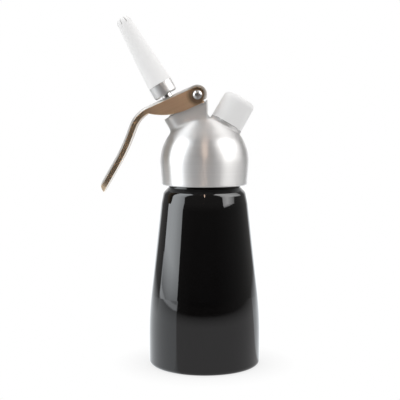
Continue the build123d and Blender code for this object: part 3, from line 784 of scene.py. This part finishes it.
class DressPort(bpy.types.Operator):
    """Finishes the gas port, its thread and its cap"""

    bl_idname = "dispenser.dress_port"
    bl_label = "Gas port"

    def execute(self, context):
        sizes, colours = context.scene.dispenser_sizes, context.scene.dispenser_colours
        steel = lathe_material("Inlet Steel", colours.bright_steel, PORT_AXIS)
        dress(["gas_inlet_body", "inlet_nut", "piercing_pin"], steel)
        # Painted shade: the cap takes a darker copy of the tip's plastic
        shaded_copy = shade(colours.plastic, 0.9)
        dress(["port_cap"], plastic_material("Cap Plastic", shaded_copy, PORT_AXIS, gloss=0.2))
        foot, top = reach("port_cap", PORT_AXIS)[0], reach("gas_inlet_body", PORT_AXIS)[1]
        ridge = thread_ridge(
            top_radius("gas_inlet_body", PORT_AXIS), foot + PORT_PLAIN[0], top - PORT_PLAIN[1],
            sizes.port_pitch, sizes.thread_relief, PORT_AXIS, HEAD_CENTRE,
        )
        finish_piece(ridge, "port_thread", "head_body", steel)
        return {"FINISHED"}


class DressSeals(bpy.types.Operator):
    """Gives the seals their silicone"""

    bl_idname = "dispenser.dress_seals"
    bl_label = "Seals"

    def execute(self, context):
        names = [
            "head_gasket", "stem_seal", "piston_seal",
            "inlet_seal_washer", "check_valve_sleeve", "charger_gasket",
        ]
        dress(names, silicone_material(context.scene.dispenser_colours.silicone))
        return {"FINISHED"}


# ---------------------------------------------------------------- studio
def start_glow(name):
    """An empty node material that may glow without being sampled as a lamp."""
    made = bpy.data.materials.new(name)
    made.cycles.emission_sampling = "NONE"
    made.use_nodes = True
    made.node_tree.nodes.clear()
    return made, made.node_tree


def glow(tree, place, colour, strength):
    inputs = {"Color": colour, "Strength": strength}
    return new_node(tree, "ShaderNodeEmission", place, inputs).outputs[0]


def card_material(name, colour, strength, peak, rise, rim):
    """Soft glow for a reflection card: fullest at its peak, fading at its sides and its foot."""
    made, tree = start_glow(name)
    parts = split(tree, (-900, 0), object_spots(tree, (-1100, 0)))
    beside = math_node(tree, "SUBTRACT", (-800, 100), parts["X"], peak)
    side = math_node(tree, "ABSOLUTE", (-700, 100), beside)
    fade = ramp(tree, (-500, 100), side, start=0.1, end=0.6, low=1.1, high=rim)
    foot = ramp(tree, (-500, -150), parts["Y"], start=-0.5, end=-0.44, low=0.35, high=1.0)
    top = ramp(tree, (-500, -400), parts["Y"], start=-0.4, end=0.1, low=1.0, high=rise)
    faded = math_node(tree, "MULTIPLY", (-400, 0), fade, foot)
    share = math_node(tree, "MULTIPLY", (-300, 0), faded, top)
    level = math_node(tree, "MULTIPLY", (-150, 0), share, strength)
    shining = glow(tree, (0, 0), (*colour, 1.0), level)
    new_node(tree, "ShaderNodeOutputMaterial", (250, 0), {0: shining})
    return made


def facing_turn(place, aim):
    """The turn that points something at a spot from its place."""
    return (Vector(aim) - Vector(place)).to_track_quat("-Z", "Y").to_euler()


def add_card(name, place, aim, width, height, strength, colour=WHITE, peak=0.0, rise=1.0, rim=0.8):
    """A glowing card that only reflections see."""
    deselect()
    bpy.ops.mesh.primitive_plane_add(size=1, location=place, rotation=facing_turn(place, aim))
    card = bpy.context.object
    card.scale = (width, height, 1)
    card.name = name + "_card"
    card.visible_camera = card.visible_diffuse = False
    card.visible_shadow = card.visible_transmission = False
    card.data.materials.append(card_material(name + " Glow", colour, strength, peak, rise, rim))


def add_lamp(name, place, aim, width, height, power, colour=WHITE):
    """A soft lamp that reflections don't see."""
    bpy.ops.object.light_add(type="AREA", location=place, rotation=facing_turn(place, aim))
    lamp = bpy.context.object
    lamp.name = name + "_lamp"
    lamp.data.shape = "RECTANGLE"
    lamp.data.size, lamp.data.size_y = width, height
    lamp.data.energy = power
    lamp.data.color = colour
    lamp.visible_camera = lamp.visible_glossy = False


def floor_material():
    """A pale table that shows white to the eye and keeps a soft shadow, and glows in reflections
    with a painted lit table and room.
    """
    made, tree = start_glow("Table White")
    spots = object_spots(tree, (-1200, 300))
    path = new_node(tree, "ShaderNodeLightPath", (-900, -100)).outputs
    parts = split(tree, (-1200, 100), spots)
    away = vector_node(tree, "LENGTH", (-1000, 300), spots)
    heading = math_node(tree, "DIVIDE", (-1000, -50), parts["Y"], away)

    # In reflections the lit table fades into the dark room a hand's breadth in front of the bottle
    near = ramp(tree, (-1000, 100), away, start=0.27, end=0.74, low=1.0, high=0.0)
    behind = ramp(tree, (-1000, -150), heading, *BACKDROP_EDGE)
    lit = math_node(tree, "MAXIMUM", (-800, 0), near, behind)
    depth = ramp(tree, (-1000, -450), heading, *ROOM_DEPTH)
    far = blend(tree, (-800, -450), depth, (0.06, 0.055, 0.052), ROOM_BACK)

    # The polished table also mirrors the left card's foot
    left = math_node(tree, "LESS_THAN", (-1000, -600), parts["X"], 0.0)
    before = ramp(tree, (-1000, -750), heading, start=-0.54, end=-0.5)
    past = ramp(tree, (-1000, -900), heading, start=0.33, end=0.39, low=1.0, high=0.0)
    beside = math_node(tree, "MULTIPLY", (-900, -700), left, before)
    card = math_node(tree, "MULTIPLY", (-800, -700), beside, past)
    foot = ramp(tree, (-1000, -1050), away, start=0.72, end=0.84)
    panel = blend(tree, (-800, -950), foot, (0.95, 0.98, 1.0), (2.9, 3.0, 3.1))
    far = blend(tree, (-620, -450), card, far, panel)

    # In reflections it glows brighter on one side of a slanting line under the bottle: painted
    # reflection
    across = vector_node(tree, "DOT_PRODUCT", (-1000, -300), spots, BRIGHT_REFLECTION_SIDE)
    bright_reflection_share = ramp(tree, (-800, -300), across, start=-0.0215, end=-0.016)
    bright = blend(tree, (-620, -200), bright_reflection_share, (0.78, 0.77, 0.78), (1.5, 1.55, 1.6))
    tone = blend(tree, (-450, -50), lit, far, bright)

    # The eye sees white, with a share of the shaded table close round the bottle
    faded = ramp(tree, (-800, 300), away, start=0.037, end=0.062, low=0.78, high=1.0)
    straight, through = path["Is Camera Ray"], path["Is Transmission Ray"]
    seen = math_node(tree, "MAXIMUM", (-450, 250), straight, through)
    share = math_node(tree, "MULTIPLY", (-300, 300), seen, faded)
    base = new_node(tree, "ShaderNodeBsdfDiffuse", (-300, 100), {"Color": TABLE_GREY}).outputs[0]
    white = glow(tree, (-300, -100), (*WHITE, 1.0), 1.0)
    mirrored = glow(tree, (-300, -250), tone, 1.0)
    direct = mix_shaders(tree, (0, 0), share, base, white)
    last = mix_shaders(tree, (150, 0), path["Is Glossy Ray"], direct, mirrored)
    new_node(tree, "ShaderNodeOutputMaterial", (350, 0), {0: last})
    return made


def background(tree, place, colour, strength):
    inputs = {"Color": colour, "Strength": strength}
    return new_node(tree, "ShaderNodeBackground", place, inputs).outputs[0]


def studio_world(fill):
    """White to the eye and behind the object, dim and warm towards the front."""
    world = bpy.context.scene.world or bpy.data.worlds.new("Studio")
    bpy.context.scene.world = world
    world.use_nodes = True
    tree = world.node_tree
    tree.nodes.clear()
    way = new_node(tree, "ShaderNodeTexCoord", (-1200, 0)).outputs["Generated"]
    parts = split(tree, (-1000, 0), way)

    # The room that reflections see: a bright backdrop, a white ceiling behind, and dim walls
    backdrop = ramp(tree, (-800, 0), parts["Y"], *BACKDROP_EDGE)
    depth = ramp(tree, (-800, -250), parts["Y"], *ROOM_DEPTH)
    rise = ramp(tree, (-800, -500), parts["Z"], start=0.0, end=0.35)
    front = blend(tree, (-620, -450), rise, (0.045, 0.042, 0.04), (0.2, 0.19, 0.185))
    walls = blend(tree, (-620, -250), depth, front, ROOM_BACK)
    overhead = ramp(tree, (-800, -750), parts["Z"], start=0.86, end=0.97)
    behind = ramp(tree, (-800, -950), parts["Y"], start=-0.12, end=0.12)
    ceiling = math_node(tree, "MULTIPLY", (-620, -750), overhead, behind)
    bright = math_node(tree, "MAXIMUM", (-620, 0), backdrop, ceiling)
    room = blend(tree, (-450, 0), bright, walls, WHITE)

    seen = background(tree, (-300, 150), (*WHITE, 1.0), 1.0)
    mirrored = background(tree, (-300, 0), room, 1.0)
    lit = background(tree, (-300, -150), (*WHITE, 1.0), fill)
    path = new_node(tree, "ShaderNodeLightPath", (-600, 400)).outputs
    bounced, through = path["Is Glossy Ray"], path["Is Transmission Ray"]
    glossy = math_node(tree, "MAXIMUM", (-300, 450), bounced, through)
    first = mix_shaders(tree, (0, -50), glossy, lit, mirrored)
    second = mix_shaders(tree, (200, 50), path["Is Camera Ray"], first, seen)
    new_node(tree, "ShaderNodeOutputWorld", (400, 50), {0: second})


class BuildStudio(bpy.types.Operator):
    """Adds the table, the light and the camera"""

    bl_idname = "dispenser.build_studio"
    bl_label = "Studio"

    def execute(self, context):
        studio = context.scene.dispenser_studio
        deselect()
        bpy.ops.mesh.primitive_plane_add(size=TABLE_SIZE, location=(0, 0, 0))
        table = context.object
        table.name = "table"
        table.data.materials.append(floor_material())

        studio_world(studio.fill)
        left = dict(
            place=(-0.775, -0.13, 0.66), aim=(0.525, -0.13, 0.21),
            width=0.9, height=1.38, colour=COOL,
        )
        right = dict(
            place=(0.775, -0.1, 0.965), aim=(-0.495, -0.1, 0.515), width=1.36, height=1.35
        )
        add_card("left", **left, strength=5.25, rise=1.04, rim=0.72)
        add_lamp("left", **left, power=2.8)
        add_card("right", **right, strength=6.1, peak=-0.15, rise=0.96, rim=0.35)
        add_lamp("right", **right, power=3.2)
        add_card(
            "strip", place=(0, -0.9, 1.02), aim=(0, 0, 0.15),
            width=0.032, height=1.14, strength=21.0, colour=WARM,
        )
        add_lamp("top", place=(0, 0, 1.4), aim=(0, 0, 0.15), width=1.0, height=0.9, power=4.0)

        deselect()
        place = (studio.camera_side, -studio.camera_distance, studio.camera_height)
        tilt = Euler((math.pi / 2 - studio.camera_tilt, 0, 0))
        bpy.ops.object.camera_add(location=place, rotation=tilt)
        camera = context.object
        camera.data.lens = studio.focal_length
        camera.data.sensor_width = SENSOR_WIDTH
        context.scene.camera = camera
        context.scene.view_settings.view_transform = "Standard"
        return {"FINISHED"}


class DispenserPanel(bpy.types.Panel):
    """Lists the steps that dress the dispenser"""

    bl_idname = "VIEW3D_PT_dispenser"
    bl_label = "Cream dispenser"
    bl_space_type = "VIEW_3D"
    bl_region_type = "UI"
    bl_category = "Dispenser"

    def draw(self, context):
        column = self.layout.column(align=True)
        for step in STEPS:
            column.operator(step.bl_idname)
        scene = context.scene
        for group in (scene.dispenser_sizes, scene.dispenser_colours, scene.dispenser_studio):
            for name in group.bl_rna.properties.keys():
                if name not in ("rna_type", "name"):
                    column.prop(group, name)


STEPS = (
    DressBottle, DressHead, DressLever, DressValve,
    DressNozzle, DressPort, DressSeals, BuildStudio,
)
CLASSES = (DispenserSizes, DispenserColours, DispenserStudio, *STEPS, DispenserPanel)


def register():
    for made in CLASSES:
        bpy.utils.register_class(made)
    bpy.types.Scene.dispenser_sizes = PointerProperty(type=DispenserSizes)
    bpy.types.Scene.dispenser_colours = PointerProperty(type=DispenserColours)
    bpy.types.Scene.dispenser_studio = PointerProperty(type=DispenserStudio)


def unregister():
    del bpy.types.Scene.dispenser_studio
    del bpy.types.Scene.dispenser_colours
    del bpy.types.Scene.dispenser_sizes
    for made in reversed(CLASSES):
        bpy.utils.unregister_class(made)


def main():
    register()
    build_groups()
    bpy.ops.dispenser.dress_bottle()
    bpy.ops.dispenser.dress_head()
    bpy.ops.dispenser.dress_lever()
    bpy.ops.dispenser.dress_valve()
    bpy.ops.dispenser.dress_nozzle()
    bpy.ops.dispenser.dress_port()
    bpy.ops.dispenser.dress_seals()
    bpy.ops.dispenser.build_studio()


if __name__ == "__main__":
    main()
